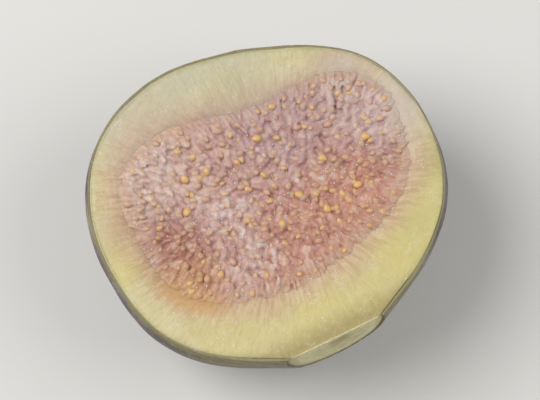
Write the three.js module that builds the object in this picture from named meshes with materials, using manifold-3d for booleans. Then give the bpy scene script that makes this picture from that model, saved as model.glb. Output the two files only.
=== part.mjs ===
// Half of a purple fig, cut lengthwise and lying on its skin with the cut face up.
//
// Three bodies, one for each colour that holds together: the thin ribbed skin with the bracts of the eye,
// the cream rind under it, and the pulp, a mass of juicy drupelets and seeds that fills the rind's hollow.
//
// Millimetres. +Z leaves the cut face, +Y runs from the trimmed stem end to the eye, +X lies across the
// fruit. The origin is on the surface that the half lies on, below the middle of its box.

import * as THREE from "three";
import { mergeVertices } from "three/addons/utils/BufferGeometryUtils.js";
import Module from "manifold-3d";

const wasm = await Module();
wasm.setup();

// ---- Driving dimensions -------------------------------------------------------------------------

const CUT_HEIGHT = 23; // cut face above the surface that the half lies on
const AXIS_BELOW_CUT = 3.2; // the stem-to-eye axis runs this far under the cut face
const AXIS_PLACE = { x: 0.12, y: 0.33 }; // where the outline's radii start, so that its box is centred
const RIM_RADIUS = 21.95; // mean radius of the cut outline
const RIM_LOBES = [
  // share of the mean radius, crests in a turn, and where one crest lies, in degrees from +X
  { share: 0.028, count: 1, crest: -170 },
  { share: 0.065, count: 2, crest: -8 },
  { share: 0.022, count: 3, crest: 2 },
  { share: 0.011, count: 4, crest: 37 },
  { share: 0.008, count: 6, crest: 30 },
];
const GIRTH = 1.008; // widest level, at the axis, against the cut outline
const FULLNESS = 2.15; // 2 is an ellipsoid, and more is fuller between its axes
const FOOT_SINK = 0.45; // how far the bottom is pressed flat

const RIB_COUNT = 20; // round the whole fruit
const RIB_HEIGHT = 0.2; // above and below the mean face
const SKIN_THICKNESS = 0.8;
const GAP = 0.3; // between bodies that touch

const NECK_RISE = 2.2; // how far the stem end is drawn out
const NECK_SPREAD = 20; // degrees from the stem over which it falls off
const STEM_FACE = 20.5; // the stem is trimmed off this far from the middle
const STEM_TILT = 4; // degrees off square to the axis

const EYE_DIMPLE = 0.6; // the eye lies in a shallow dip
const EYE_SPREAD = 13; // degrees from the eye over which the dip falls off
const EYE_HOLE = { radius: 1.15, bottomRadius: 0.6, depth: 2.4 };
const BRACTS = { count: 7, length: 2.3, radius: 1, flatness: 0.45, lift: 15, fromAxis: 1.95 };

const PULP_MIDDLE = { x: 1.2, y: 0.2 };
const PULP_RADII = { x: 19.4, y: 13.6 };
const PULP_LOBES = [
  { share: 0.075, count: 1, crest: 128 },
  { share: 0.036, count: 2, crest: 0 },
  { share: 0.069, count: 3, crest: 18 },
  { share: 0.065, count: 4, crest: 42 },
  { share: 0.029, count: 5, crest: -22 },
];
const PULP_DEPTH = 17.4; // below the cut face
const SEAM_REACH = 6.5; // the drupelets of both sides meet in a seam, this far each way along X
const SEAM_DIP = 0.5; // how much deeper the pulp lies there than at the rind

const DRUPELET_ROWS = 8; // from the rind to the seam
const DRUPELET_PITCH = 1.6; // along a row
const GROOVE_BELOW_CUT = 0.75; // the grooves between the drupelets, at the rind
const DRUPELET_HEIGHT = { outer: 0.7, inner: 0.95 }; // of the two ends of its crest, above the grooves
const UNEVENNESS = 0.5; // how much the drupelets differ in place and height
const SEED = { length: 1.5, width: 1.1, height: 1.1, sides: 6, bands: 2 };
const SEED_SINK = 0.35; // its middle below the crest that it sits on
const SEED_SHARE = 0.3; // drupelets that show a seed
const RANDOM_START = 7;

const ROW_STEP = 9; // degrees between the wall's rows, from the eye to the stem
const RIBBED_STEP = 360 / RIB_COUNT / 4; // degrees between the columns of a ribbed face
const PLAIN_STEP = 10; // and of a plain one
const COLUMN_REACH = 108; // columns are that close only this far up from the bottom
const UPPER_STEP = 36; // and this far apart above, where the knife takes most away
const HOLLOW_COLUMNS = 48;
const HOLLOW_DROPS = [15, 32, 50, 68]; // rows down the hollow, in degrees

// ---- Small helpers ------------------------------------------------------------------------------

const radians = THREE.MathUtils.degToRad;

// mulberry32: the same draws in every build
function randomSource(start) {
  let state = start >>> 0;
  return () => {
    state = (state + 0x6d2b79f5) >>> 0;
    let t = Math.imul(state ^ (state >>> 15), 1 | state);
    t = (t + Math.imul(t ^ (t >>> 7), 61 | t)) ^ t;
    return ((t ^ (t >>> 14)) >>> 0) / 4294967296;
  };
}

function lobed(lobes, turn) {
  const waves = lobes.map(({ share, count, crest }) => share * Math.cos(count * (turn - radians(crest))));
  return waves.reduce((sum, wave) => sum + wave, 1);
}

const fallOff = (distance, spread) => Math.exp(-((distance / spread) ** 2));

function solidOf(geometry) {
  const bare = geometry.clone();
  bare.deleteAttribute("normal");
  bare.deleteAttribute("uv");
  const merged = mergeVertices(bare, 1e-4);
  return new wasm.Manifold(
    new wasm.Mesh({
      numProp: 3,
      vertProperties: new Float32Array(merged.attributes.position.array),
      triVerts: new Uint32Array(merged.index.array),
    }),
  );
}

// The body itself, without the bubbles that joining seals in it or the scraps that cutting leaves beside it
function mainBody(solid) {
  return solid.decompose().reduce((best, body) => (body.volume() > best.volume() ? body : best));
}

function meshOf(solid, name, material) {
  const { vertProperties, triVerts } = mainBody(solid).getMesh();
  const geometry = new THREE.BufferGeometry();
  geometry.setAttribute("position", new THREE.BufferAttribute(vertProperties, 3));
  geometry.setIndex(new THREE.BufferAttribute(triVerts, 1));
  geometry.computeVertexNormals();
  const mesh = new THREE.Mesh(geometry, material);
  mesh.name = name;
  return mesh;
}

// A closed body from rings of points between two poles. Each ring runs counter-clockwise seen from past the
// first pole, and neighbours may differ in their number of points.
function ringedSolid(firstPole, rings, lastPole) {
  const points = [firstPole];
  const loops = rings.map((ring) => {
    const start = points.length;
    points.push(...ring);
    return { count: ring.length, at: (index) => start + (index % ring.length) };
  });
  const lastIndex = points.push(lastPole) - 1;
  const faces = [];
  const first = loops[0];
  const last = loops.at(-1);
  for (let index = 0; index < first.count; index++) {
    faces.push(0, first.at(index), first.at(index + 1));
  }
  for (let index = 0; index < last.count; index++) {
    faces.push(lastIndex, last.at(index + 1), last.at(index));
  }
  for (let ring = 0; ring + 1 < loops.length; ring++) {
    const [upper, lower] = [loops[ring], loops[ring + 1]];
    let [a, b] = [0, 0];
    while (a < upper.count || b < lower.count) {
      const corner = [upper.at(a), lower.at(b)];
      if ((a + 1) / upper.count <= (b + 1) / lower.count) {
        a += 1;
        faces.push(...corner, upper.at(a));
      } else {
        b += 1;
        faces.push(...corner, lower.at(b));
      }
    }
  }
  const geometry = new THREE.BufferGeometry();
  const coordinates = points.flatMap((point) => point.toArray());
  geometry.setAttribute("position", new THREE.Float32BufferAttribute(coordinates, 3));
  geometry.setIndex(faces);
  return solidOf(geometry);
}

// ---- The fruit's wall ---------------------------------------------------------------------------

const rimRadius = (turn) => RIM_RADIUS * lobed(RIM_LOBES, turn);

const AXIS_HEIGHT = CUT_HEIGHT - AXIS_BELOW_CUT;

// A point of the wall, `inset` inside its mean outer face. `fromEye` is the angle at the fruit's middle
// from the eye to the point, and `roundAxis` is the angle round the axis from straight down.
function wallPoint(fromEye, roundAxis, inset, ribHeight) {
  const toward = new THREE.Vector3(
    -Math.sin(fromEye) * Math.sin(roundAxis),
    Math.cos(fromEye),
    -Math.sin(fromEye) * Math.cos(roundAxis),
  );
  const rim = GIRTH * rimRadius(Math.atan2(toward.y, toward.x)) - inset;
  const level = Math.hypot(toward.x, toward.y) / rim;
  const down = Math.abs(toward.z) / (AXIS_HEIGHT + FOOT_SINK - inset);
  const neck = NECK_RISE * fallOff(Math.PI - fromEye, radians(NECK_SPREAD));
  const dimple = EYE_DIMPLE * fallOff(fromEye, radians(EYE_SPREAD));
  const rib = ribHeight * Math.sin(fromEye) ** 2 * Math.cos(RIB_COUNT * roundAxis);
  const reach = (level ** FULLNESS + down ** FULLNESS) ** (-1 / FULLNESS) + neck - dimple + rib;
  const middle = new THREE.Vector3(AXIS_PLACE.x, AXIS_PLACE.y, AXIS_HEIGHT);
  const point = toward.multiplyScalar(reach).add(middle);
  point.z = Math.max(point.z, inset);
  return point;
}

// The whole fruit down to that inset: close columns round the half that is kept, and a few above it
function wallSolid(inset, ribHeight = 0) {
  const step = ribHeight ? RIBBED_STEP : PLAIN_STEP;
  const columns = [];
  for (let column = -COLUMN_REACH; column <= COLUMN_REACH; column += step) {
    columns.push(column);
  }
  for (let column = COLUMN_REACH + UPPER_STEP; column < 360 - COLUMN_REACH; column += UPPER_STEP) {
    columns.push(column);
  }
  const rings = [];
  for (let row = ROW_STEP; row < 180 - ROW_STEP; row += ROW_STEP) {
    rings.push(columns.map((column) => wallPoint(radians(row), radians(column), inset, ribHeight)));
  }
  return ringedSolid(wallPoint(0, 0, inset, 0), rings, wallPoint(Math.PI, 0, inset, 0));
}

// ---- What the knife takes off -------------------------------------------------------------------

const BLOCK = 90; // larger than the fruit

const otherHalf = (() => {
  const block = new THREE.BoxGeometry(BLOCK, BLOCK, BLOCK);
  block.translate(0, 0, CUT_HEIGHT + BLOCK / 2);
  return solidOf(block);
})();

const stem = (() => {
  const block = new THREE.BoxGeometry(BLOCK, BLOCK, BLOCK);
  block.translate(0, -BLOCK / 2, 0);
  block.rotateX(radians(-STEM_TILT));
  block.translate(0, -STEM_FACE, AXIS_HEIGHT);
  return solidOf(block);
})();

// ---- The eye, at the end away from the stem -----------------------------------------------------

const eyePlace = wallPoint(0, 0, 0, 0);

const eyeHole = (() => {
  const { radius, bottomRadius, depth } = EYE_HOLE;
  const hole = new THREE.CylinderGeometry(radius, bottomRadius, 2 * depth, 10);
  hole.translate(eyePlace.x, eyePlace.y, eyePlace.z);
  return solidOf(hole);
})();

// Little bracts that lean in over the hole
function bracts() {
  const { count, length, radius, flatness, lift, fromAxis } = BRACTS;
  return Array.from({ length: count }, (_, index) => {
    const bract = new THREE.ConeGeometry(radius, length, 5);
    bract.scale(1, 1, flatness);
    bract.rotateX(radians(lift - 90));
    bract.translate(0, 0, fromAxis);
    bract.rotateY((2 * Math.PI * index) / count);
    bract.translate(eyePlace.x, eyePlace.y, eyePlace.z);
    return solidOf(bract);
  });
}

// ---- The pulp -----------------------------------------------------------------------------------

// A line round the pulp at one level: `share` 1 is the outline, `inset` inside the rind, and 0 is the seam
class PulpLine extends THREE.Curve {
  constructor(share, height, inset) {
    super();
    Object.assign(this, { share, height, inset });
  }

  getPoint(turns) {
    const turn = 2 * Math.PI * turns;
    const waves = lobed(PULP_LOBES, turn);
    const seam = new THREE.Vector3(SEAM_REACH * Math.cos(turn), 0, 0);
    const outline = new THREE.Vector3(
      (PULP_RADII.x * waves - this.inset) * Math.cos(turn),
      (PULP_RADII.y * waves - this.inset) * Math.sin(turn),
      0,
    );
    return seam.lerp(outline, this.share).add(new THREE.Vector3(PULP_MIDDLE.x, PULP_MIDDLE.y, this.height));
  }
}

const overPulp = (height) => new THREE.Vector3(PULP_MIDDLE.x, PULP_MIDDLE.y, height);

function pulpRing(share, height, inset) {
  const line = new PulpLine(share, height, inset);
  return Array.from({ length: HOLLOW_COLUMNS }, (_, column) => line.getPointAt(column / HOLLOW_COLUMNS));
}

function hollowRings(inset) {
  return HOLLOW_DROPS.map(radians).map((drop) =>
    pulpRing(Math.cos(drop), CUT_HEIGHT - (PULP_DEPTH - inset) * Math.sin(drop), inset),
  );
}

// The hollow of the rind, carried straight up past the cut face
function hollowSolid() {
  const lid = CUT_HEIGHT + 4;
  const rings = [pulpRing(1, lid, 0), pulpRing(1, CUT_HEIGHT, 0), ...hollowRings(0)];
  return ringedSolid(overPulp(lid), rings, overPulp(CUT_HEIGHT - PULP_DEPTH));
}

// A seed, lying along its heading
function seedSolid(place, heading) {
  const shape = new THREE.SphereGeometry(0.5, SEED.sides, SEED.bands);
  shape.rotateZ(Math.PI / 2);
  shape.scale(SEED.length, SEED.width, SEED.height);
  shape.rotateZ(heading);
  shape.translate(place.x, place.y, place.z);
  return solidOf(shape);
}

const grooveHeight = (share) => CUT_HEIGHT - GROOVE_BELOW_CUT - SEAM_DIP * (1 - share);

// The rings of one row of drupelets, from the rind inwards: the outer and the inner ends of their crests,
// with a groove between each two, and the groove that closes the row
function drupeletRow(row, jitter) {
  const rowDepth = 1 / (DRUPELET_ROWS + 0.5);
  const middle = 1 - (row + 0.5) * rowDepth;
  const count = Math.round(new PulpLine(middle, 0, GAP).getLength() / DRUPELET_PITCH);
  const crests = (share, height) => {
    const line = new PulpLine(share, grooveHeight(share), GAP);
    return Array.from({ length: 2 * count }, (_, index) => {
      const rise = index % 2 ? 0 : height + jitter();
      return line.getPointAt(index / count / 2).add(new THREE.Vector3(jitter(), jitter(), rise));
    });
  };
  const groove = new PulpLine(middle - rowDepth / 2, grooveHeight(middle), GAP);
  return {
    outer: crests(middle + rowDepth / 4, DRUPELET_HEIGHT.outer),
    inner: crests(middle - rowDepth / 4, DRUPELET_HEIGHT.inner),
    groove: Array.from({ length: count }, (_, index) =>
      groove.getPointAt(index / count).add(new THREE.Vector3(jitter(), jitter(), 0)),
    ),
  };
}

// The pulp, its top raised in rows of drupelets, each with a crest that points from the rind to the seam.
// Some have a seed at the inner end.
function pulpSolid() {
  const random = randomSource(RANDOM_START);
  const jitter = () => (random() - 0.5) * UNEVENNESS;
  const rings = [pulpRing(1, grooveHeight(1), GAP)];
  const seeds = [];
  for (let row = 0; row < DRUPELET_ROWS; row++) {
    const { outer, inner, groove } = drupeletRow(row, jitter);
    rings.unshift(groove, inner, outer);
    for (const seat of inner.filter((_, index) => index % 2 === 0 && random() < SEED_SHARE)) {
      seeds.push(seedSolid(seat.clone().setZ(seat.z - SEED_SINK), random() * 2 * Math.PI));
    }
  }
  const body = ringedSolid(
    overPulp(grooveHeight(0)),
    [...rings, ...hollowRings(GAP)],
    overPulp(CUT_HEIGHT - PULP_DEPTH + GAP),
  );
  return body.add(wasm.Manifold.union(seeds));
}

// ---- The three bodies ---------------------------------------------------------------------------

const skin = wallSolid(0, RIB_HEIGHT)
  .subtract(wallSolid(SKIN_THICKNESS))
  .subtract(eyeHole)
  .add(wasm.Manifold.union(bracts()))
  .subtract(stem)
  .subtract(otherHalf);

const rind = wallSolid(SKIN_THICKNESS + GAP)
  .subtract(hollowSolid())
  .subtract(eyeHole)
  .subtract(stem)
  .subtract(otherHalf);

const pulp = pulpSolid();

const skinMaterial = new THREE.MeshStandardMaterial({ color: 0x6c6168, roughness: 0.55, metalness: 0 });
const rindMaterial = new THREE.MeshStandardMaterial({ color: 0xc9bd90, roughness: 0.6, metalness: 0 });
const pulpMaterial = new THREE.MeshStandardMaterial({ color: 0xb9897b, roughness: 0.4, metalness: 0 });

const fig = new THREE.Group();
fig.add(meshOf(skin, "skin", skinMaterial));
fig.add(meshOf(rind, "rind", rindMaterial));
fig.add(meshOf(pulp, "pulp", pulpMaterial));

export default fig;
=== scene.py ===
"""Half of a frozen purple fig, cut face up: ribbed skin, cream rind, and pulp of drupelets and seeds."""

import math
import random

import bmesh
import bpy
from mathutils import Matrix, Vector, kdtree, noise


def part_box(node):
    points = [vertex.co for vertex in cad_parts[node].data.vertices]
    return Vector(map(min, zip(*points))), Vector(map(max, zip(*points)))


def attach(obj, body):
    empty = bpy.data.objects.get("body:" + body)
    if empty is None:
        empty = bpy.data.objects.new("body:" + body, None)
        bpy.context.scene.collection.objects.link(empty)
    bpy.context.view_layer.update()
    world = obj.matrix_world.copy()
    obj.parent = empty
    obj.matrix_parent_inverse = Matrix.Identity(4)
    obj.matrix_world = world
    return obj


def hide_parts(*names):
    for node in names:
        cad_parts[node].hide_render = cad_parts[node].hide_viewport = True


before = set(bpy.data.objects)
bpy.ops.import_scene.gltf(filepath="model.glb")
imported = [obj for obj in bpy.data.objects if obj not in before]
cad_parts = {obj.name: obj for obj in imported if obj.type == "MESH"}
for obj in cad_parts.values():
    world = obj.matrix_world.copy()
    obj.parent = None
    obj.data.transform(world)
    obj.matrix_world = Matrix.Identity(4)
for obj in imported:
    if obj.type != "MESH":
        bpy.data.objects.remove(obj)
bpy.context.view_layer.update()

# ---- Sizes, in millimetres ---------------------------------------------------

MM = 0.001

CUT_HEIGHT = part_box("rind")[1].z / MM
AXIS_BELOW_CUT = 3.2
AXIS_HEIGHT = CUT_HEIGHT - AXIS_BELOW_CUT
AXIS_MIDDLE = Vector((0.12, 0.33, AXIS_HEIGHT))
RIM_RADIUS = 21.95
# Each lobe: share of the radius, how often it comes round, where its crest is in degrees
RIM_LOBES = ((0.028, 1, -170), (0.065, 2, -8), (0.022, 3, 2), (0.011, 4, 37), (0.008, 6, 30))
GIRTH = 1.008
FULLNESS = 2.15  # 2 is a round wall, and more is a squarer one
FOOT_SINK = 0.45
RIB_COUNT = 20
RIB_HEIGHT = 0.2
LESSER_RIBS = ((0.1, 9, 2.5, 0), (0.07, 26, 3, 4))  # height, how close together round and along, start
DENTS = ((0.24, 2.3), (0.06, 6))  # depth, and how close together they are
SKIN_THICKNESS = 0.36
NECK_RISE = 2.2
NECK_SPREAD = 20
STEM_FACE = 20.5
STEM_TILT = math.radians(4)
EYE_DIMPLE = 0.6
EYE_SPREAD = 13
EYE_HOLE_RADIUS = 1.1
EYE_HOLE_DEPTH = 2.4

UP = Vector((0, 0, 1))
CUT_PLACE = UP * CUT_HEIGHT
CUT_WAVE_HEIGHT = 0.16
CUT_WAVE_LENGTH = 9
CUT_WAVE_START = 3
CUT_SINK = 0.05
STEM_PLACE = Vector((0, -STEM_FACE, AXIS_HEIGHT))
STEM_OUTWARD = Vector((0, -math.cos(STEM_TILT), math.sin(STEM_TILT)))
SCAR_MIDDLE = STEM_PLACE + Vector((AXIS_MIDDLE.x, 0, 0))

PULP_MIDDLE = Vector((1.2, 0.2, CUT_HEIGHT))
PULP_RADII = Vector((19.4, 13.6))
PULP_LOBES = ((0.075, 1, 128), (0.036, 2, 0), (0.069, 3, 18), (0.065, 4, 42), (0.029, 5, -22))
PULP_DEPTH = 17.4
SEAM_REACH = 6.5
SEAM_DIP = 0.5
BED_BELOW_CUT = 0.75
EDGE_RISE = 0.15  # by which the pulp comes up to meet the rind
EDGE_SHARE = 0.09  # of the pulp's width, over which it does

WELD_REACH = 0.002
SLICE_REACH = 0.001
WRAP_RADIUS = 15  # of the round on which streaks are laid out
ALONG_X = (0, math.pi / 2, 0)  # turns an upright model to lie along X
RANDOM_START = 11

rng = random.Random(RANDOM_START)


def rgb(red, green, blue):
    """A colour named by its screen values, 0 to 255, as the shader wants it."""
    shares = (red / 255, green / 255, blue / 255)
    linear = [share / 12.92 if share < 0.04 else ((share + 0.055) / 1.055) ** 2.4 for share in shares]
    return (*linear, 1.0)


# ---- The fruit's form --------------------------------------------------------


def lobed(lobes, turn):
    """How much of its plain radius a lobed outline has at that turn."""
    return 1 + sum(share * math.cos(count * (turn - math.radians(crest))) for share, count, crest in lobes)


def fall_off(distance, spread):
    """1 at the spot, and next to nothing at twice the spread from it."""
    return math.exp(-((distance / spread) ** 2))


def uneven(point, waves):
    """A relief of several waves, each with its height and how close together it is."""
    return sum(height * noise.noise(point * close) for height, close in waves)


def wall_reach(toward, inset):
    """How far the fruit's wall is from its middle in that direction, `inset` under the mean outer face."""
    rim = GIRTH * RIM_RADIUS * lobed(RIM_LOBES, math.atan2(toward.y, toward.x)) - inset
    level = math.hypot(toward.x, toward.y) / rim
    down = abs(toward.z) / (AXIS_HEIGHT + FOOT_SINK - inset)
    from_eye = math.degrees(math.acos(max(-1, min(1, toward.y))))
    neck = NECK_RISE * fall_off(180 - from_eye, NECK_SPREAD)
    dimple = EYE_DIMPLE * fall_off(from_eye, EYE_SPREAD)
    return (level**FULLNESS + down**FULLNESS) ** (-1 / FULLNESS) + neck - dimple


def round_axis(toward):
    """The angle round the stem-to-eye axis, from straight down."""
    return math.atan2(-toward.x, -toward.z)


def rib_rise(toward):
    """Broad ribs with finer, broken ones between them, which all die out at the stem and the eye."""
    turn = round_axis(toward)
    rise = RIB_HEIGHT * math.cos(RIB_COUNT * turn)
    for height, close_round, close_along, start in LESSER_RIBS:
        rise += height * noise.noise(Vector((close_round * turn, close_along * toward.y, start)))
    return (1 - toward.y**2) * rise


def wall_point(toward, inset, ribbed=False):
    """The point of the wall in that direction from the middle, pressed flat where the fruit lies."""
    reach = wall_reach(toward, inset) + (rib_rise(toward) if ribbed else 0)
    point = AXIS_MIDDLE + toward * (reach + uneven(toward, DENTS))
    point.z = max(point.z, inset)
    return point


def cut_lift(point):
    """The knife left the cut face a little uneven: how far it lies from the level at that point."""
    spot = Vector((point.x / CUT_WAVE_LENGTH, point.y / CUT_WAVE_LENGTH, CUT_WAVE_START))
    return CUT_WAVE_HEIGHT * noise.noise(spot) - CUT_SINK


def pulp_turn(point):
    """The angle by which the pulp's outline is drawn, for a point in the cut face."""
    return math.atan2((point.y - PULP_MIDDLE.y) / PULP_RADII.y, (point.x - PULP_MIDDLE.x) / PULP_RADII.x)


def pulp_outline(turn):
    """The point of the pulp's outline in the cut face at that turn."""
    across = Vector((PULP_RADII.x * math.cos(turn), PULP_RADII.y * math.sin(turn), 0))
    return PULP_MIDDLE + across * lobed(PULP_LOBES, turn)


def pulp_spot(turn, share):
    """A point of the pulp: share 1 is its outline, and 0 the seam in the middle."""
    seam = PULP_MIDDLE + Vector((SEAM_REACH * math.cos(turn), 0, 0))
    return seam.lerp(pulp_outline(turn), share)


EYE_PLACE = wall_point(Vector((0, 1, 0)), 0)


# ---- Making pieces -----------------------------------------------------------


def pick(piece):
    """Only this piece is selected, and it is the active one."""
    bpy.ops.object.select_all(action="DESELECT")
    piece.select_set(True)
    bpy.context.view_layer.objects.active = piece


def edit(piece):
    """Starts edit mode with all of the piece selected."""
    pick(piece)
    bpy.ops.object.mode_set(mode="EDIT")
    bpy.ops.mesh.select_mode(type="VERT")
    bpy.ops.mesh.select_all(action="SELECT")


def leave_edit():
    """Back to object mode."""
    bpy.ops.object.mode_set(mode="OBJECT")


def select_where(piece, test, kind="verts"):
    """In edit mode, selects the vertices, edges or faces that the test holds for."""
    mesh = bmesh.from_edit_mesh(piece.data)
    bpy.ops.mesh.select_all(action="DESELECT")
    for item in getattr(mesh, kind):
        if test(item):
            item.select = True
    if kind == "verts":
        mesh.select_flush(True)
    bmesh.update_edit_mesh(piece.data)


def select_rim(piece):
    """In edit mode, selects the open edges."""
    select_where(piece, lambda edge: edge.is_boundary, "edges")


def slice_off(at, toward, fill=False):
    """In edit mode, cuts the piece through at a point and removes what lies toward the direction."""
    bpy.ops.mesh.select_all(action="SELECT")
    bpy.ops.mesh.bisect(
        plane_co=at * MM, plane_no=toward, use_fill=fill, clear_outer=True, threshold=SLICE_REACH * MM
    )


def draw_ring(piece, place):
    """In edit mode, draws the selected open edge on by one ring, each new point where `place` puts it."""
    bpy.ops.mesh.extrude_edges_indiv()
    mesh = bmesh.from_edit_mesh(piece.data)
    for vertex in mesh.verts:
        if vertex.select:
            vertex.co = place(vertex.co / MM) * MM
    bmesh.update_edit_mesh(piece.data)


def close_ring():
    """In edit mode, closes the selected ring with a fan."""
    bpy.ops.mesh.edge_face_add()
    bpy.ops.mesh.poke()


def draw_down(piece, top, depth, rings, reach, share):
    """In edit mode, draws the selected edge down into a bowl from `top` under the cut, `depth` deep, and
    through `reach` degrees of its bend, at that share of the pulp's outline."""
    for ring in range(1, rings + 1):
        drop = math.radians(reach * ring / rings)
        level = CUT_HEIGHT - top - depth * math.sin(drop)

        def downward(point, drop=drop, level=level):
            edge = pulp_outline(pulp_turn(point))
            spot = PULP_MIDDLE.lerp(edge, share * math.cos(drop))
            return Vector((spot.x, spot.y, level))

        draw_ring(piece, downward)
    close_ring()


def move_points(piece, place):
    """Moves each point to where `place` puts it."""
    for vertex in piece.data.vertices:
        vertex.co = place(vertex.co / MM) * MM


def tag_points(piece, name, values):
    """Stores one number for each point, which a finish reads by that name."""
    piece.data.attributes.new(name, "FLOAT", "POINT").data.foreach_set("value", values)


def at_points(piece, value):
    """The value at each point of the piece."""
    return [value(vertex.co / MM) for vertex in piece.data.vertices]


def outward(piece):
    """Closes seams and poles, and turns every face outwards."""
    edit(piece)
    bpy.ops.mesh.remove_doubles(threshold=WELD_REACH * MM)
    bpy.ops.mesh.normals_make_consistent(inside=False)
    leave_edit()


def modifier(piece, kind, **settings):
    """Shapes the piece with a modifier of these settings, and applies it."""
    pick(piece)
    added = piece.modifiers.new(kind.title(), kind)
    for name, value in settings.items():
        setattr(added, name, value)
    bpy.ops.object.modifier_apply(modifier=added.name)


def finished(piece, name, slot, finish, *nodes):
    """Names a piece, gives it its finish, and hangs it on the fig in place of these CAD nodes."""
    pick(piece)
    bpy.ops.object.shade_smooth()
    piece.name = name
    piece.data.name = name
    piece.data.materials.clear()
    piece.data.materials.append(finish)
    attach(piece, "root")
    if nodes:
        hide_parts(*nodes)
    return piece


def copies_of(model, places):
    """One piece made of copies of the model, one for each (matrix, tint) in places."""
    copies = []
    for matrix, tint in places:
        copy = model.copy()
        copy.data = model.data.copy()
        copy.data.transform(matrix)
        tag_points(copy, "tint", [tint] * len(copy.data.vertices))
        bpy.context.collection.objects.link(copy)
        copies.append(copy)
    bpy.data.objects.remove(model)
    return joined(copies)


def new_ball(segments, rings, radius, rotation=(0, 0, 0)):
    """A ball whose poles are turned from the upright by the rotation."""
    bpy.ops.mesh.primitive_uv_sphere_add(
        segments=segments, ring_count=rings, radius=radius * MM, rotation=rotation
    )
    bpy.ops.object.transform_apply()
    return bpy.context.object


def joined(pieces):
    """One piece made of several, with the first one's name."""
    bpy.ops.object.select_all(action="DESELECT")
    for piece in pieces:
        piece.select_set(True)
    bpy.context.view_layer.objects.active = pieces[0]
    bpy.ops.object.join()
    return pieces[0]


def lying(place, heading, tilt, roll, size):
    """The matrix that lays a model, long along its own X, at a place in millimetres: turned to its heading,
    with its far end tilted up, rolled on its length, and scaled to a size."""
    turn = Matrix.Rotation(heading, 4, "Z") @ Matrix.Rotation(-tilt, 4, "Y") @ Matrix.Rotation(roll, 4, "X")
    return Matrix.Translation(place * MM) @ turn @ Matrix.Diagonal((*size, 1))


# ---- Finishes ----------------------------------------------------------------


class Value:
    """A socket of a finish that sums can be written with."""

    def __init__(self, finish, socket):
        self.finish = finish
        self.socket = socket

    def math(self, operation, *others):
        return self.finish.node("ShaderNodeMath", {"operation": operation}, dict(enumerate(others)))

    def __add__(self, other):
        return self.math("ADD", self, other)

    def __radd__(self, other):
        return self.math("ADD", other, self)

    def __sub__(self, other):
        return self.math("SUBTRACT", self, other)

    def __rsub__(self, other):
        return self.math("SUBTRACT", other, self)

    def __mul__(self, other):
        return self.math("MULTIPLY", self, other)

    def __rmul__(self, other):
        return self.math("MULTIPLY", other, self)


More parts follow.
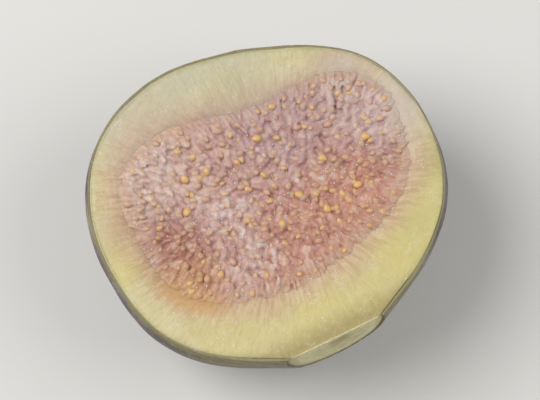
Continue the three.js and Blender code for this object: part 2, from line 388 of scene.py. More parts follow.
class Finish:
    """A material and the nodes that make its finish."""

    def __init__(self, name):
        self.material = bpy.data.materials.new(name)
        self.material.use_nodes = True
        self.tree = self.material.node_tree
        self.shader = self.tree.nodes["Principled BSDF"]

    def node(self, kind, settings=None, inputs=None, output=0):
        """Adds a node: its settings first, then the value or link of each socket in inputs."""
        made = self.tree.nodes.new(kind)
        for name, setting in (settings or {}).items():
            setattr(made, name, setting)
        for key, value in (inputs or {}).items():
            self.feed(made.inputs[key], value)
        return Value(self, made.outputs[output])

    def feed(self, socket, value):
        if isinstance(value, Value):
            self.tree.links.new(value.socket, socket)
        else:
            socket.default_value = value

    def place(self):
        return self.node("ShaderNodeTexCoord", output="Object")

    def axis(self, name):
        return self.node("ShaderNodeSeparateXYZ", {}, {"Vector": self.place()}, output=name)

    def tag(self, name):
        return self.node("ShaderNodeAttribute", {"attribute_name": name}, output="Fac")

    def stretched(self, vector, *scale):
        return self.node("ShaderNodeMapping", {}, {"Vector": vector, "Scale": scale})

    def speckle(self, grain, detail=4, roughness=0.55, vector=None, warp=0.0):
        """Noise whose patches are about `grain` millimetres across."""
        inputs = {"Scale": 1 / (grain * MM), "Detail": detail, "Roughness": roughness, "Distortion": warp}
        inputs["Vector"] = vector or self.place()
        return self.node("ShaderNodeTexNoise", {}, inputs)

    def between(self, value, low, high, to_low=0.0, to_high=1.0):
        """A smooth step from 0, where the value is under low, to 1 over high, or to the given ends."""
        inputs = {"Value": value, "From Min": low, "From Max": high, "To Min": to_low, "To Max": to_high}
        return self.node("ShaderNodeMapRange", {"interpolation_type": "SMOOTHSTEP"}, inputs)

    def vector(self, operation, *inputs, output="Vector"):
        """Vector maths: a number beside the vector of SCALE is its scale."""
        feeds = {}
        for key, value in enumerate(inputs):
            feeds["Scale" if isinstance(value, (int, float)) else key] = value
        return self.node("ShaderNodeVectorMath", {"operation": operation}, feeds, output=output)

    def close_to(self, point, axes, radius, soft):
        """1 near the point, measured along these axes alone, with a soft edge, in millimetres."""
        spot = self.vector("MULTIPLY", self.place(), axes)
        away = self.vector("DISTANCE", spot, [value * MM for value in point], output="Value")
        return self.between(away, (radius + soft) * MM, (radius - soft) * MM)

    def near(self, x, y, radius, soft):
        """1 inside a round patch of the cut face."""
        return self.close_to((x, y, 0), (1, 1, 0), radius, soft)

    def near_line(self, x, z, radius, soft):
        """1 near the line along Y at that x and z."""
        return self.close_to((x, 0, z), (1, 0, 1), radius, soft)

    def away_from(self, middle, axes):
        """The way from that middle along these axes alone, and the same drawn to one length."""
        away = self.vector("MULTIPLY", self.vector("SUBTRACT", self.place(), middle * MM), axes)
        return away, self.vector("SCALE", self.vector("NORMALIZE", away), WRAP_RADIUS * MM)

    def streaks(self, grain, detail=4):
        """Noise drawn out from the pulp's middle, as the stalks run, in patches about `grain` mm wide."""
        away, wrapped = self.away_from(PULP_MIDDLE, (1, 1, 0))
        where = self.vector("ADD", wrapped, self.vector("SCALE", away, 0.16))
        return self.speckle(grain, detail, 0.6, where)

    def along_ribs(self, drawn=0.2):
        """Places on the skin, drawn out from the eye to the stem, so that noise there follows the ribs."""
        wrapped = self.away_from(AXIS_MIDDLE, (1, 0, 1))[1]
        return self.vector("ADD", wrapped, self.vector("MULTIPLY", self.place(), (0, drawn, 0)))

    def cells(self, grain, vector=None):
        """The distance from the nearest of many scattered points, about `grain` millimetres apart."""
        inputs = {"Vector": vector or self.place(), "Scale": 1 / (grain * MM)}
        return self.node("ShaderNodeTexVoronoi", {}, inputs)

    def mix(self, factor, first, second):
        inputs = {0: factor, 6: first, 7: second}
        return self.node("ShaderNodeMix", {"data_type": "RGBA"}, inputs, output=2)

    def bump(self, height, depth):
        """Feeds the surface a relief whose full height is `depth` millimetres."""
        inputs = {"Height": height, "Distance": depth * MM}
        self.feed(self.shader.inputs["Normal"], self.node("ShaderNodeBump", {}, inputs))

    def flesh(self, base, roughness, weight, depth, colours=(1.0, 0.2, 0.1), gloss=0.5):
        """Moist flesh, in which red, green and blue light spread `colours` times `depth` millimetres."""
        return self.set(
            Base_Color=base,
            Roughness=roughness,
            Specular_IOR_Level=gloss,
            Subsurface_Weight=weight,
            Subsurface_Radius=colours,
            Subsurface_Scale=depth * MM,
        )

    def set(self, **values):
        """Sets sockets of the shader by name, with _ for a space."""
        for name, value in values.items():
            self.feed(self.shader.inputs[name.replace("_", " ")], value)
        return self.material


def skin_finish():
    """Thin dark fruit skin: slate, violet and olive streaks along the ribs, fine wrinkles with painted
    light and shade, a dusty bloom, pale dots and frost, brown round the eye and greener towards the stem."""
    f = Finish("fig skin")
    ribs = f.along_ribs()
    stripes = f.speckle(2.8, 5, 0.6, ribs, 0.4)
    veins = f.speckle(0.8, 4, 0.65, f.along_ribs(0.12))
    wrinkles = f.speckle(0.75, 4, 0.6, f.stretched(f.place(), 1, 0.4, 1), 0.8)
    patches = f.speckle(10, 3, 0.5)
    bloom = f.speckle(5, 6, 0.6, None, 0.2)
    dust = f.speckle(0.45, 4, 0.7)
    spot = f.between(f.cells(1.7, f.along_ribs(0.5)), 0.2, 0.08)
    spark = f.between(f.cells(0.9), 0.16, 0.05) * f.between(f.speckle(4, 3), 0.45, 0.6)
    y = f.axis("Y")
    violet = f.mix(f.between(veins, 0.38, 0.62), rgb(88, 76, 84), rgb(116, 104, 110))
    brown = f.mix(f.between(veins, 0.4, 0.62), rgb(104, 88, 76), rgb(140, 122, 100))
    olive = f.mix(f.between(veins, 0.4, 0.62), rgb(112, 106, 72), rgb(156, 146, 102))
    mood = stripes * 0.6 + patches * 0.4
    base = f.mix(f.between(mood, 0.45, 0.5), violet, brown)
    base = f.mix(f.between(mood, 0.5, 0.57), base, olive)
    near_stem = f.between(y + stripes * 8 * MM, -7 * MM, -18 * MM)
    green = f.mix(f.between(veins, 0.38, 0.62), rgb(134, 128, 84), rgb(170, 160, 112))
    base = f.mix(near_stem * 0.7, base, green)
    # Painted light and painted shade: the skin is lightened on the wrinkles' crests and darkened in their
    # hollows, following the noise that also raises them.
    base = f.mix(f.between(wrinkles, 0.52, 0.7) * 0.4, base, rgb(168, 158, 146))
    base = f.mix(f.between(wrinkles, 0.46, 0.3) * 0.4, base, rgb(70, 62, 64))
    base = f.mix(spot * 0.6, base, rgb(184, 174, 152))
    dusty = f.between(bloom, 0.42, 0.68) * f.between(dust, 0.3, 0.62, 0.35, 0.8)
    base = f.mix(dusty * 0.75, base, rgb(158, 157, 164))
    base = f.mix(f.between(bloom * 0.4 + dust * 0.6, 0.55, 0.68) * 0.45, base, rgb(206, 206, 206))
    at_eye = f.near_line(EYE_PLACE.x, EYE_PLACE.z, 3.4, 1.4) * f.between(y, 10 * MM, 14 * MM)
    tan = f.mix(f.between(veins, 0.4, 0.65), rgb(132, 98, 76), rgb(172, 138, 108))
    base = f.mix(at_eye * 0.8, base, tan)
    at_cut = f.between(f.axis("Z") + veins * 1.2 * MM, (CUT_HEIGHT - 1.2) * MM, (CUT_HEIGHT + 0.6) * MM)
    base = f.mix(at_cut * 0.75, base, rgb(150, 140, 96))
    base = f.mix(spark * 0.8, base, rgb(226, 226, 226))
    f.bump(wrinkles + veins * 0.5 + dust * 0.2 + spot * 0.2 + spark * 0.4, 0.28)
    roughness = f.between(bloom * 0.6 + dust * 0.4, 0.35, 0.65, 0.42, 0.72) - spark * 0.2
    return f.flesh(base, roughness, 0.05, 0.6, (1.0, 0.5, 0.4), 0.4)


def with_border(f, base, where):
    """The base with the fibrous colours in which rind and pulp run into each other."""
    fibrous = f.between(f.streaks(0.6), 0.42, 0.58)
    border = f.mix(fibrous, rgb(195, 158, 130), rgb(211, 180, 150))
    brown = f.mix(fibrous, rgb(166, 122, 100), rgb(202, 170, 142))
    brown_here = f.near(-18, -1, 4, 5)
    border = f.mix(brown_here * 0.9, border, brown)
    mauve_here = f.near(3, 13, 8, 5)
    border = f.mix(mauve_here * 0.8, border, rgb(188, 160, 146))
    ashen_here = f.near(20, 5, 5, 7)
    border = f.mix(ashen_here * 0.9, border, rgb(204, 190, 174))
    return f.mix(where * 0.88, base, border)


def with_gold(f, base, where):
    """The base with the golden stain that runs from the pulp into the rind on one side."""
    return f.mix(f.near(-14.5, -7, 4.5, 3) * where * 0.8, base, rgb(204, 160, 104))


def rind_finish():
    """Moist cream rind: greener under the skin, stained pink and brown by the pulp, with a little frost,
    and darkened to olive towards the stem's edge by painted shade.
    """
    f = Finish("fig rind")
    from_skin = f.tag("from_skin")
    from_pulp = f.tag("from_pulp")
    from_scar = f.tag("from_scar")
    cloud = f.speckle(5, 5, 0.55, None, 0.3)
    fibre = f.speckle(0.7, 4, 0.65)
    grain = f.speckle(0.22, 3, 0.6)
    streaks = f.streaks(0.8)
    threads = f.streaks(0.3, 3)
    pores = f.cells(0.55)
    base = f.mix(f.between(cloud, 0.35, 0.65), rgb(206, 192, 142), rgb(216, 206, 162))
    base = f.mix(f.between(threads, 0.42, 0.62) * 0.35, base, rgb(224, 216, 180))
    base = f.mix(f.between(threads, 0.46, 0.3) * 0.3, base, rgb(190, 176, 124))
    yellow_here = f.near(6, -18, 15, 8) * f.between(cloud, 0.3, 0.62, 0.55, 1)
    base = f.mix(yellow_here, base, rgb(214, 199, 134))
    green_here = f.near(19, -10, 7, 5) * f.between(fibre, 0.3, 0.6, 0.4, 0.9)
    base = f.mix(green_here * 0.7, base, rgb(204, 196, 122))
    pale_here = f.near(-5, 20, 13, 7) * f.between(cloud, 0.35, 0.6, 0.5, 0.95)
    base = f.mix(pale_here, base, rgb(199, 192, 164))
    left_here = f.near(-20.5, 0, 3, 2) + f.near(-12.5, -13.5, 4.5, 3) * 0.7
    base = f.mix(left_here * 0.8, base, rgb(210, 194, 128))
    dull_here = f.near(20.5, -4.5, 2, 2) + f.near(2, 14.5, 3, 3) * 0.7 + f.near(14.5, 14.5, 2, 2)
    base = f.mix(dull_here * 0.5, base, rgb(184, 170, 118))
    green = f.between(from_skin + fibre * 0.6, 1.5, 0.3)
    base = f.mix(green * 0.7, base, rgb(180, 173, 112))
    # Painted shade: the rind is darkened to olive towards the stem's edge.
    near_stem = f.between(from_scar + streaks * 2, -3.0, 0.6)
    base = f.mix(near_stem * 0.8, base, rgb(168, 152, 100))
    stain = f.between(from_pulp + streaks * 4 + cloud * 2, 6.9, 2.4)
    base = with_border(f, base, stain)
    ashen_here = f.near(20.3, 3, 3, 2.5) + f.near(15.5, 11, 2.6, 2)
    base = f.mix(ashen_here * 0.7, base, rgb(203, 188, 176))
    rosy_here = f.near(-11, 13.5, 4.5, 4) + f.near(15, 11.5, 3.6, 3) * 0.4
    base = f.mix(rosy_here * f.between(streaks, 0.35, 0.65, 0.4, 0.85), base, rgb(198, 176, 156))
    tan_here = f.near(-19.3, 4, 2.6, 2.6)
    base = f.mix(tan_here * 0.6, base, rgb(188, 158, 122))
    base = with_gold(f, base, f.between(from_pulp + streaks * 3, 4.6, 1.8))
    base = f.mix(f.between(fibre, 0.5, 0.75) * 0.3, base, rgb(226, 216, 190))
    frost = f.between(f.speckle(2.4, 3, 0.5), 0.48, 0.7) * f.between(grain, 0.5, 0.66)
    base = f.mix(frost * 0.4, base, rgb(240, 236, 220))
    on_scar = f.between(from_scar, -0.28, -0.06)
    bundles = f.near_line(*SCAR_MIDDLE.xz, 3.6, 0.7) - f.near_line(*SCAR_MIDDLE.xz, 2.5, 0.7)
    scar = f.mix(f.between(fibre, 0.35, 0.65), rgb(212, 202, 146), rgb(232, 224, 180))
    scar = f.mix(bundles * f.between(grain, 0.4, 0.6) * 0.6, scar, rgb(186, 166, 118))
    scar = f.mix(f.between(from_skin, 0.9, 0.4) * 0.5, scar, rgb(166, 148, 104))
    base = f.mix(on_scar, base, scar)
    f.bump(fibre * 0.4 + grain * 0.15 + streaks * 0.3 + threads * 0.4 + pores * 0.2, 0.2)
    roughness = f.between(cloud, 0.3, 0.7, 0.42, 0.58)
    return f.flesh(base, roughness, 0.35, 1.6, (1.0, 0.75, 0.4), 0.4)


def pulp_colours(f):
    """The pulp's own colour from place to place, shared by all that is in it."""
    cloud = f.speckle(3, 4, 0.6, None, 0.4)
    base = f.mix(f.between(cloud, 0.35, 0.65), rgb(190, 144, 134), rgb(204, 168, 158))
    rosy_here = f.near(1.5, -2.5, 4.5, 4)
    base = f.mix(rosy_here * 0.5, base, rgb(190, 130, 116))
    warm_here = f.near(9.5, -4, 6, 4)
    base = f.mix(warm_here * 0.8, base, rgb(198, 136, 108))
    red_here = f.near(9, -1.8, 2.2, 2)
    base = f.mix(red_here * 0.6, base, rgb(180, 118, 104))
    wine_here = f.near(16, -1.2, 2.6, 2) * f.between(f.streaks(0.7), 0.38, 0.55)
    base = f.mix(wine_here, base, rgb(160, 98, 82))
    mauve_here = f.near(6, 9, 8.5, 5)
    base = f.mix(mauve_here * 0.65, base, rgb(183, 155, 157))
    ashen_here = f.near(16.8, 3.4, 3.6, 3)
    base = f.mix(ashen_here * 0.7, base, rgb(204, 184, 186))
    dull_here = f.near(-12, 8.5, 5.5, 4)
    base = f.mix(dull_here * 0.65, base, rgb(203, 182, 170))
    ripe_here = f.near(-13.8, -1.2, 4.2, 2.4) * f.between(cloud, 0.3, 0.6, 0.45, 0.95)
    base = f.mix(ripe_here, base, rgb(162, 104, 90))
    orange_here = f.near(-14.2, -6.6, 3.8, 2.6)
    base = f.mix(orange_here * 0.85, base, rgb(198, 148, 102))
    tan_here = f.near(0.5, -9.5, 6.5, 2.4)
    base = f.mix(tan_here * 0.6, base, rgb(192, 136, 112))
    pale_here = f.near(18.6, 1.5, 2.4, 5) + f.near(14.6, 9.2, 2.6, 2.2)
    return f.mix(pale_here * 0.6, base, rgb(208, 192, 182))


def frost_patches(f):
    """Streaky patches of frost, thickest left of the middle."""
    thick = f.near(-5.8, 0.7, 2.7, 3.6) + f.near(-4.6, -6.4, 2.3, 2.8)
    thin = f.near(-12, 9, 4, 4) * 0.45 + f.near(15, 6, 3, 3) * 0.35
    grown = f.speckle(0.9, 6, 0.7, f.stretched(f.place(), 1, 0.45, 1))
    return f.between(grown + (thick + thin) * 0.2, 0.57, 0.73)


def bowl_finish():
    """The wet mass under the drupelets."""
    f = Finish("fig pulp bowl")
    base = f.mix(f.between(f.speckle(2), 0.3, 0.7), rgb(160, 108, 96), rgb(178, 128, 112))
    f.bump(f.speckle(0.5), 0.2)
    return f.flesh(base, 0.42, 0.3, 1.2)


def drupelet_finish():
    """Juicy, dusty pink sacs, no two quite alike, with painted shade darkening the clefts between them, and
    whitened by frost in patches.
    """
    f = Finish("fig drupelets")
    tint = f.tag("tint")
    raised = f.tag("raised")
    base = pulp_colours(f)
    base = f.mix(f.between(tint, 0.0, 0.4, 0.45, 0.0), base, rgb(176, 120, 108))
    base = f.mix(f.between(tint, 0.62, 1.0, 0.0, 0.5), base, rgb(224, 194, 172))
    # Painted shade: darker and redder where the surface lies below its smoothed level, in the clefts
    # between the sacs.
    painted_cleft_shade = f.between(raised, 0.05, -0.2)
    base = f.mix(painted_cleft_shade * 0.38, base, rgb(156, 98, 84))
    streak = f.speckle(0.35, 3, 0.6)
    base = f.mix(f.between(streak, 0.45, 0.7) * 0.35, base, rgb(228, 204, 188))
    at_rind = f.between(f.tag("from_pulp") + f.streaks(0.8) * 3, -1.6, 2.0)
    base = with_border(f, base, at_rind)
    base = with_gold(f, base, at_rind)
    frost = frost_patches(f) * f.between(raised, -0.15, 0.1)
    base = f.mix(frost * 0.75, base, rgb(228, 217, 213))
    f.bump(streak * 0.6 + f.speckle(0.15, 2, 0.5) * 0.4, 0.1)
    roughness = f.between(streak, 0.3, 0.7, 0.36, 0.55)
    return f.flesh(base, roughness, 0.45, 0.9, (1.0, 0.55, 0.45), 0.45)


def seed_finish():
    """Small golden seeds, most of them still veiled by flesh."""
    f = Finish("fig seeds")
    tint = f.tag("tint")
    veiled = f.mix(0.55, pulp_colours(f), rgb(216, 172, 132))
    base = f.mix(f.between(tint, 0.3, 1.0), veiled, rgb(228, 182, 118))
    base = f.mix(f.between(f.speckle(0.3, 3, 0.6), 0.5, 0.7) * 0.4, base, rgb(232, 208, 172))
    base = f.mix(frost_patches(f) * 0.5, base, rgb(228, 218, 210))
    f.bump(f.speckle(0.18, 2, 0.5), 0.05)
    return f.flesh(base, 0.38, 0.25, 0.5)


def strand_finish():
    """Pale threads of the drupelets' stalks."""
    f = Finish("fig strands")
    base = f.mix(f.tag("tint"), rgb(210, 168, 148), rgb(218, 192, 160))
    base = f.mix(frost_patches(f) * 0.3, base, rgb(226, 214, 204))
    return f.flesh(base, 0.45, 0.3, 0.5)


def frost_finish():
    """Grains of ice."""
    f = Finish("fig frost")
    base = f.mix(f.tag("tint"), rgb(222, 214, 208), rgb(240, 238, 236))
    return f.flesh(base, 0.3, 0.5, 0.3)


def bract_finish():
    """The dry tan scales of the eye, with painted shade darkening them over the eye's hole."""
    f = Finish("fig bracts")
    fibre = f.speckle(0.4, 4, 0.6)
    base = f.mix(f.between(fibre, 0.35, 0.65), rgb(136, 102, 78), rgb(178, 144, 112))
    base = f.mix(f.tag("tint") * 0.35, base, rgb(116, 86, 74))
    # Painted shade: the scales are darkened over the eye's hole, where its mouth is.
    middle = f.near_line(EYE_PLACE.x, EYE_PLACE.z, 1.1, 0.5)
    base = f.mix(middle * 0.7, base, rgb(78, 44, 36))
    f.bump(fibre, 0.12)
    return f.set(Base_Color=base, Roughness=0.6)


def floor_finish():
    """Plain pale grey."""
    f = Finish("floor")
    return f.set(Base_Color=rgb(226, 225, 221), Roughness=0.6, Specular_IOR_Level=0.2)


# ---- Skin --------------------------------------------------------------------

SKIN_SEGMENTS = 320
SKIN_RINGS = 150
EDGE_ROUNDING = 0.09
EDGE_ANGLE = math.radians(50)
SKIN_BELOW_CUT = 0.03
SETTLING_DEPTH = 3


def fruit_ball(segments, rings, inset, ribbed):
    """The whole fruit's wall, with its poles at the eye and the stem."""
    ball = new_ball(segments, rings, 1, (math.pi / 2, 0, 0))
    move_points(ball, lambda point: wall_point(point.normalized(), inset, ribbed))
    return ball


def select_eye_hole(ball):
    """In edit mode, selects the part of the wall that the eye's hole goes through."""
    eye = EYE_PLACE.xz
    select_where(ball, lambda v: v.co.y > 0 and (v.co.xz / MM - eye).length < EYE_HOLE_RADIUS)


def settle_on_cut(point):
    """Near the cut face the wall ends at the knife's uneven level."""
    near = max(0, 1 - (CUT_HEIGHT - point.z) / SETTLING_DEPTH)
    return point + UP * near * (cut_lift(point) - SKIN_BELOW_CUT)


def make_skin():
    """The thin ribbed shell, open at the cut, at the stem scar and at the eye."""
    skin = fruit_ball(SKIN_SEGMENTS, SKIN_RINGS, 0, True)
    edit(skin)
    select_eye_hole(skin)
    bpy.ops.mesh.delete(type="VERT")
    slice_off(STEM_PLACE, STEM_OUTWARD)
    slice_off(CUT_PLACE, UP)
    leave_edit()
    move_points(skin, settle_on_cut)
    outward(skin)
    modifier(skin, "SOLIDIFY", thickness=SKIN_THICKNESS * MM, offset=-1, use_even_offset=False)
    modifier(
        skin, "BEVEL", width=EDGE_ROUNDING * MM, segments=2, limit_method="ANGLE", angle_limit=EDGE_ANGLE
    )
    return finished(skin, "fig_skin", "skin", skin_finish(), "skin")


# ---- Rind --------------------------------------------------------------------

RIND_SEGMENTS = 300
RIND_RINGS = 110
RIND_GAP = 0.02  # from the skin, and under the skin's edge at the cut
FACE_RINGS = 26
FACE_RIPPLES = ((0.09, 0.5), (0.07, 1.3), (0.05, 3.2))  # their height, and how close together they are
SKIN_SAG = 0.07  # of the cut face, by each of its edges
SKIN_SAG_WIDTH = 0.4
SCAR_SAG = 0.25
SCAR_SAG_WIDTH = 0.8
PULP_SAG = 0.38
PULP_SAG_WIDTH = 0.9
FRAY_RADIUS = 14
FRAYS = ((0.4, 0.55), (0.35, 1.7))
FRAY_OVERLAP = 0.7  # by which the rind laps over the pulp's outline
HOLLOW_RINGS = 14
HOLLOW_REACH = 86  # degrees that the rings go down, short of the hollow's bottom
HOLLOW_LIP = 0.6
SCAR_RINGS = 12
SCAR_DISH = 0.28
SCAR_DISH_RADIUS = 2.4
FIBRE_HEIGHT = 0.1
FIBRE_RADIUS = 3.1  # of the ring in which the stem's fibres stand
FIBRE_SPREAD = 0.7


def scar_relief(spot, away):
    """The face left by the stem: dished in the middle, with a ring of fibres."""
    ragged = 1 + 0.8 * noise.noise(spot * 2.2)
    fibres = FIBRE_HEIGHT * fall_off(away - FIBRE_RADIUS, FIBRE_SPREAD) * ragged
    return fibres - SCAR_DISH * fall_off(away, SCAR_DISH_RADIUS) + 0.07 * noise.noise(spot * 0.9)


def depth_under_skin(point):
    """How far the point lies under the fruit's outer face."""
    away = point - AXIS_MIDDLE
    return wall_reach(away.normalized(), 0) - away.length


def distance_to_pulp(point):
    """How far the point lies outside the pulp's outline, or inside it if the number is negative."""
    flat = Vector((point.x, point.y, CUT_HEIGHT))
    edge = pulp_outline(pulp_turn(point))
    return (flat - PULP_MIDDLE).length - (edge - PULP_MIDDLE).length


def frayed(turn):
    """The rind's inner edge is frayed where the drupelets' stalks leave it."""
    spot = Vector((FRAY_RADIUS * math.cos(turn), FRAY_RADIUS * math.sin(turn), 0))
    return uneven(spot, FRAYS) - FRAY_OVERLAP


def face_height(point):
    """The cut face of the rind: rounded off at the skin, and sagging towards the pulp."""
    at_skin = SKIN_SAG * fall_off(max(0, depth_under_skin(point) - SKIN_THICKNESS), SKIN_SAG_WIDTH)
    at_scar = SCAR_SAG * fall_off((STEM_PLACE - point).dot(STEM_OUTWARD), SCAR_SAG_WIDTH)
    at_pulp = PULP_SAG * fall_off(max(0, distance_to_pulp(point) + FRAY_OVERLAP), PULP_SAG_WIDTH)
    level = CUT_HEIGHT + cut_lift(point) - at_skin - at_scar - at_pulp
    return level + uneven(point, FACE_RIPPLES) - RIND_GAP


def make_rind():
    """The wall: closed at the scar, holed at the eye, flat at the cut and hollowed for the pulp."""
    rind = fruit_ball(RIND_SEGMENTS, RIND_RINGS, SKIN_THICKNESS + RIND_GAP, False)
    edit(rind)
    select_eye_hole(rind)
    bpy.ops.mesh.extrude_region_move(TRANSFORM_OT_translate={"value": (0, -EYE_HOLE_DEPTH * MM, 0)})
    slice_off(STEM_PLACE, STEM_OUTWARD)
    select_rim(rind)
    for ring in range(SCAR_RINGS):
        left = SCAR_RINGS + 1 - ring

        def to_middle(point, left=left):
            spot = point.lerp(SCAR_MIDDLE, 1 / left)
            away = (spot - SCAR_MIDDLE).length
            level = STEM_PLACE + STEM_OUTWARD * scar_relief(spot, away)
            return spot + STEM_OUTWARD * (level - spot).dot(STEM_OUTWARD)

        draw_ring(rind, to_middle)
    close_ring()
    slice_off(CUT_PLACE, UP)
    select_rim(rind)
    for ring in range(FACE_RINGS):
        left = FACE_RINGS - ring

        def inward(point, left=left):
            turn = pulp_turn(point)
            edge = pulp_outline(turn)
            edge += (edge - PULP_MIDDLE).normalized() * frayed(turn)
            spot = point.lerp(edge, 1 / left)
            return Vector((spot.x, spot.y, face_height(spot)))

        draw_ring(rind, inward)
    draw_down(rind, HOLLOW_LIP, PULP_DEPTH - HOLLOW_LIP, HOLLOW_RINGS, HOLLOW_REACH, 1)
    leave_edit()
    outward(rind)
    tag_points(rind, "from_skin", at_points(rind, depth_under_skin))
    tag_points(rind, "from_pulp", at_points(rind, distance_to_pulp))
    tag_points(rind, "from_scar", at_points(rind, lambda point: (point - STEM_PLACE).dot(STEM_OUTWARD)))
    return finished(rind, "fig_rind", "rind", rind_finish(), "rind")


# ---- Pulp --------------------------------------------------------------------

PULP_COLUMNS = 260
PULP_RINGS = 44
PULP_ABOVE_RIND = 1
PULP_INSIDE_RIND = 0.995  # as a share of the outline
LAYER_DEPTH = 2.6  # of the drupelets' layer, under which the bowl is plain
LAYER_OVERLAP = 0.3
BED_WALL_RINGS = 3
BED_WALL_REACH = 12
BED_RISE = 0.26
BED_LUMPS = ((0.2, 0.9), (0.2, 2.1))

INWARD_PROBE = 0.05
TURN_PROBE = 0.01
LEAST_STEP = 1.2  # to the radian, so that the rows by the seam aren't crowded

# A pair is the range from which each copy's own value is drawn
SAC_ROWS = 11
SAC_MARGIN = 0.04
SAC_PITCH = 1.0
SAC_LENGTH = (1.7, 2.7)
SAC_WIDTH = (0.9, 1.3)
SAC_RISE = (0.12, 0.4)
SAC_TILT = (-0.02, 0.42)
SAC_TIP = Vector((0.3, 0, 0.2))
RIND_ZONE = 0.2  # of the pulp's width, in which sacs are smaller and lie lower
STALK_SHARE = 0.885
STALK_PITCH = 0.66
STALK_LENGTH = (2.2, 3.2)
STALK_THICKNESS = (0.42, 0.62)
STALK_RISE = (0.42, 0.58)
FUSING_GRAIN = 0.15

SEEDED_SHARE = 0.42  # of the drupelets
SEED_SIZE = (0.7, 1.0)
SEED_FORM = Vector((1.2, 0.95, 0.72))
SEED_SINK = (0.05, 0.26)
BRIGHT_SEED_SIZE = (1.25, 1.05, 0.75)
BRIGHT_SEEDS = (
    (-8.9, 6.8), (-10.5, 2.8), (3.5, -1.5), (10.8, -3.6), (5.9, -4.7),
    (-0.2, -4.0), (8.3, 1.6), (14.5, 1.7), (1.8, 7.6),
)

STRAND_SHARE = 0.15
STRAND_PITCH = 0.85
STRAND_LENGTH = (1.4, 2.6)
STRAND_THICKNESS = (0.12, 0.2)
STRAND_SINK = (0.18, 0.34)

FROST_ROWS = 30
FROST_PITCH = 0.72
FROST_SIZE = (0.1, 0.28)
FROST_SPOTS = ((-6.3, 0.5, 4.2), (-5, -6.5, 3.2))  # x, y and how far it spreads
FROST_ELSEWHERE = 0.16
FROST_IN_SPOTS = 0.8


def bed_level(share):
    """The level of the bed in which the drupelets lie: sunk at the seam, and raised at the rind."""
    return CUT_HEIGHT - BED_BELOW_CUT - SEAM_DIP * (1 - share) + EDGE_RISE * fall_off(1 - share, EDGE_SHARE)


def pulp_plug(top, rings, reach):
    """A bowl of the pulp's outline, `top` below the cut, drawn down in rings through `reach` degrees."""
    bpy.ops.mesh.primitive_circle_add(vertices=PULP_COLUMNS, radius=MM)
    plug = bpy.context.object
    move_points(plug, lambda point: pulp_outline(math.atan2(point.y, point.x)) - UP * top)
    edit(plug)
    draw_down(plug, top, PULP_DEPTH - PULP_ABOVE_RIND, rings, reach, PULP_INSIDE_RIND)
    return plug


def make_bowl():
    """The plain mass under the drupelets, which fills the rind's hollow."""
    bowl = pulp_plug(LAYER_DEPTH - LAYER_OVERLAP, HOLLOW_RINGS, HOLLOW_REACH)
    select_rim(bowl)
    close_ring()
    leave_edit()
    outward(bowl)
    return finished(bowl, "pulp_bowl", "pulp", bowl_finish(), "pulp")


def lumpy_bed():
    """The lumpy top that the drupelets stand in."""
    bed = pulp_plug(BED_BELOW_CUT - EDGE_RISE, BED_WALL_RINGS, BED_WALL_REACH)
    select_rim(bed)
    for ring in range(1, PULP_RINGS):
        share = 1 - ring / PULP_RINGS

        def inward(point, share=share):
            spot = PULP_MIDDLE.lerp(pulp_outline(pulp_turn(point)), share)
            return Vector((spot.x, spot.y, bed_level(share) + BED_RISE + uneven(spot, BED_LUMPS)))

        draw_ring(bed, inward)
    close_ring()
    leave_edit()
    outward(bed)
    return bed


def sac_model():
    """One drupelet, 1 mm long before it is scaled: blunt at its inner end and drawn out to its stalk."""
    sac = new_ball(8, 6, 0.5, ALONG_X)

    def drawn_out(point):
        taper = 1 - 0.45 * (0.5 - point.x) ** 1.5
        return Vector((point.x, point.y * taper, point.z * taper))

    move_points(sac, drawn_out)
    return sac


def row_shares(rows, margin):
    """The middles of rows that fill the pulp from the margin by the rind to the seam."""
    return [1 - margin - (1 - margin) * (row + 0.5) / rows for row in range(rows)]


def pulp_places(shares, pitch, wander):
    """Spots in rows round the pulp, which face the seam: (place in the bed, heading, share)."""
    places = []
    for share in shares:
        turn = rng.random()
        full_turn = turn + 2 * math.pi
        while turn < full_turn:
            here = max(0.01, min(0.995, share + rng.uniform(-wander, wander) / PULP_RADII.y))
            spot = pulp_spot(turn, here)
            inward = pulp_spot(turn, here - INWARD_PROBE) - spot
            heading = math.atan2(inward.y, inward.x)
            places.append((Vector((spot.x, spot.y, bed_level(here))), heading, here))
            step = (pulp_spot(turn + TURN_PROBE, share) - pulp_spot(turn, share)).length / TURN_PROBE
            turn += pitch / max(step, LEAST_STEP) * rng.uniform(0.8, 1.2)
    return places


def relief_of(piece, rounds):
    """How far each point stands out of the smoothed surface, in millimetres."""
    smooth = piece.copy()
    smooth.data = piece.data.copy()
    bpy.context.collection.objects.link(smooth)
    modifier(smooth, "SMOOTH", factor=0.9, iterations=rounds)
    rises = [(v.co.z - w.co.z) / MM for v, w in zip(piece.data.vertices, smooth.data.vertices)]
    bpy.data.objects.remove(smooth)
    return rises


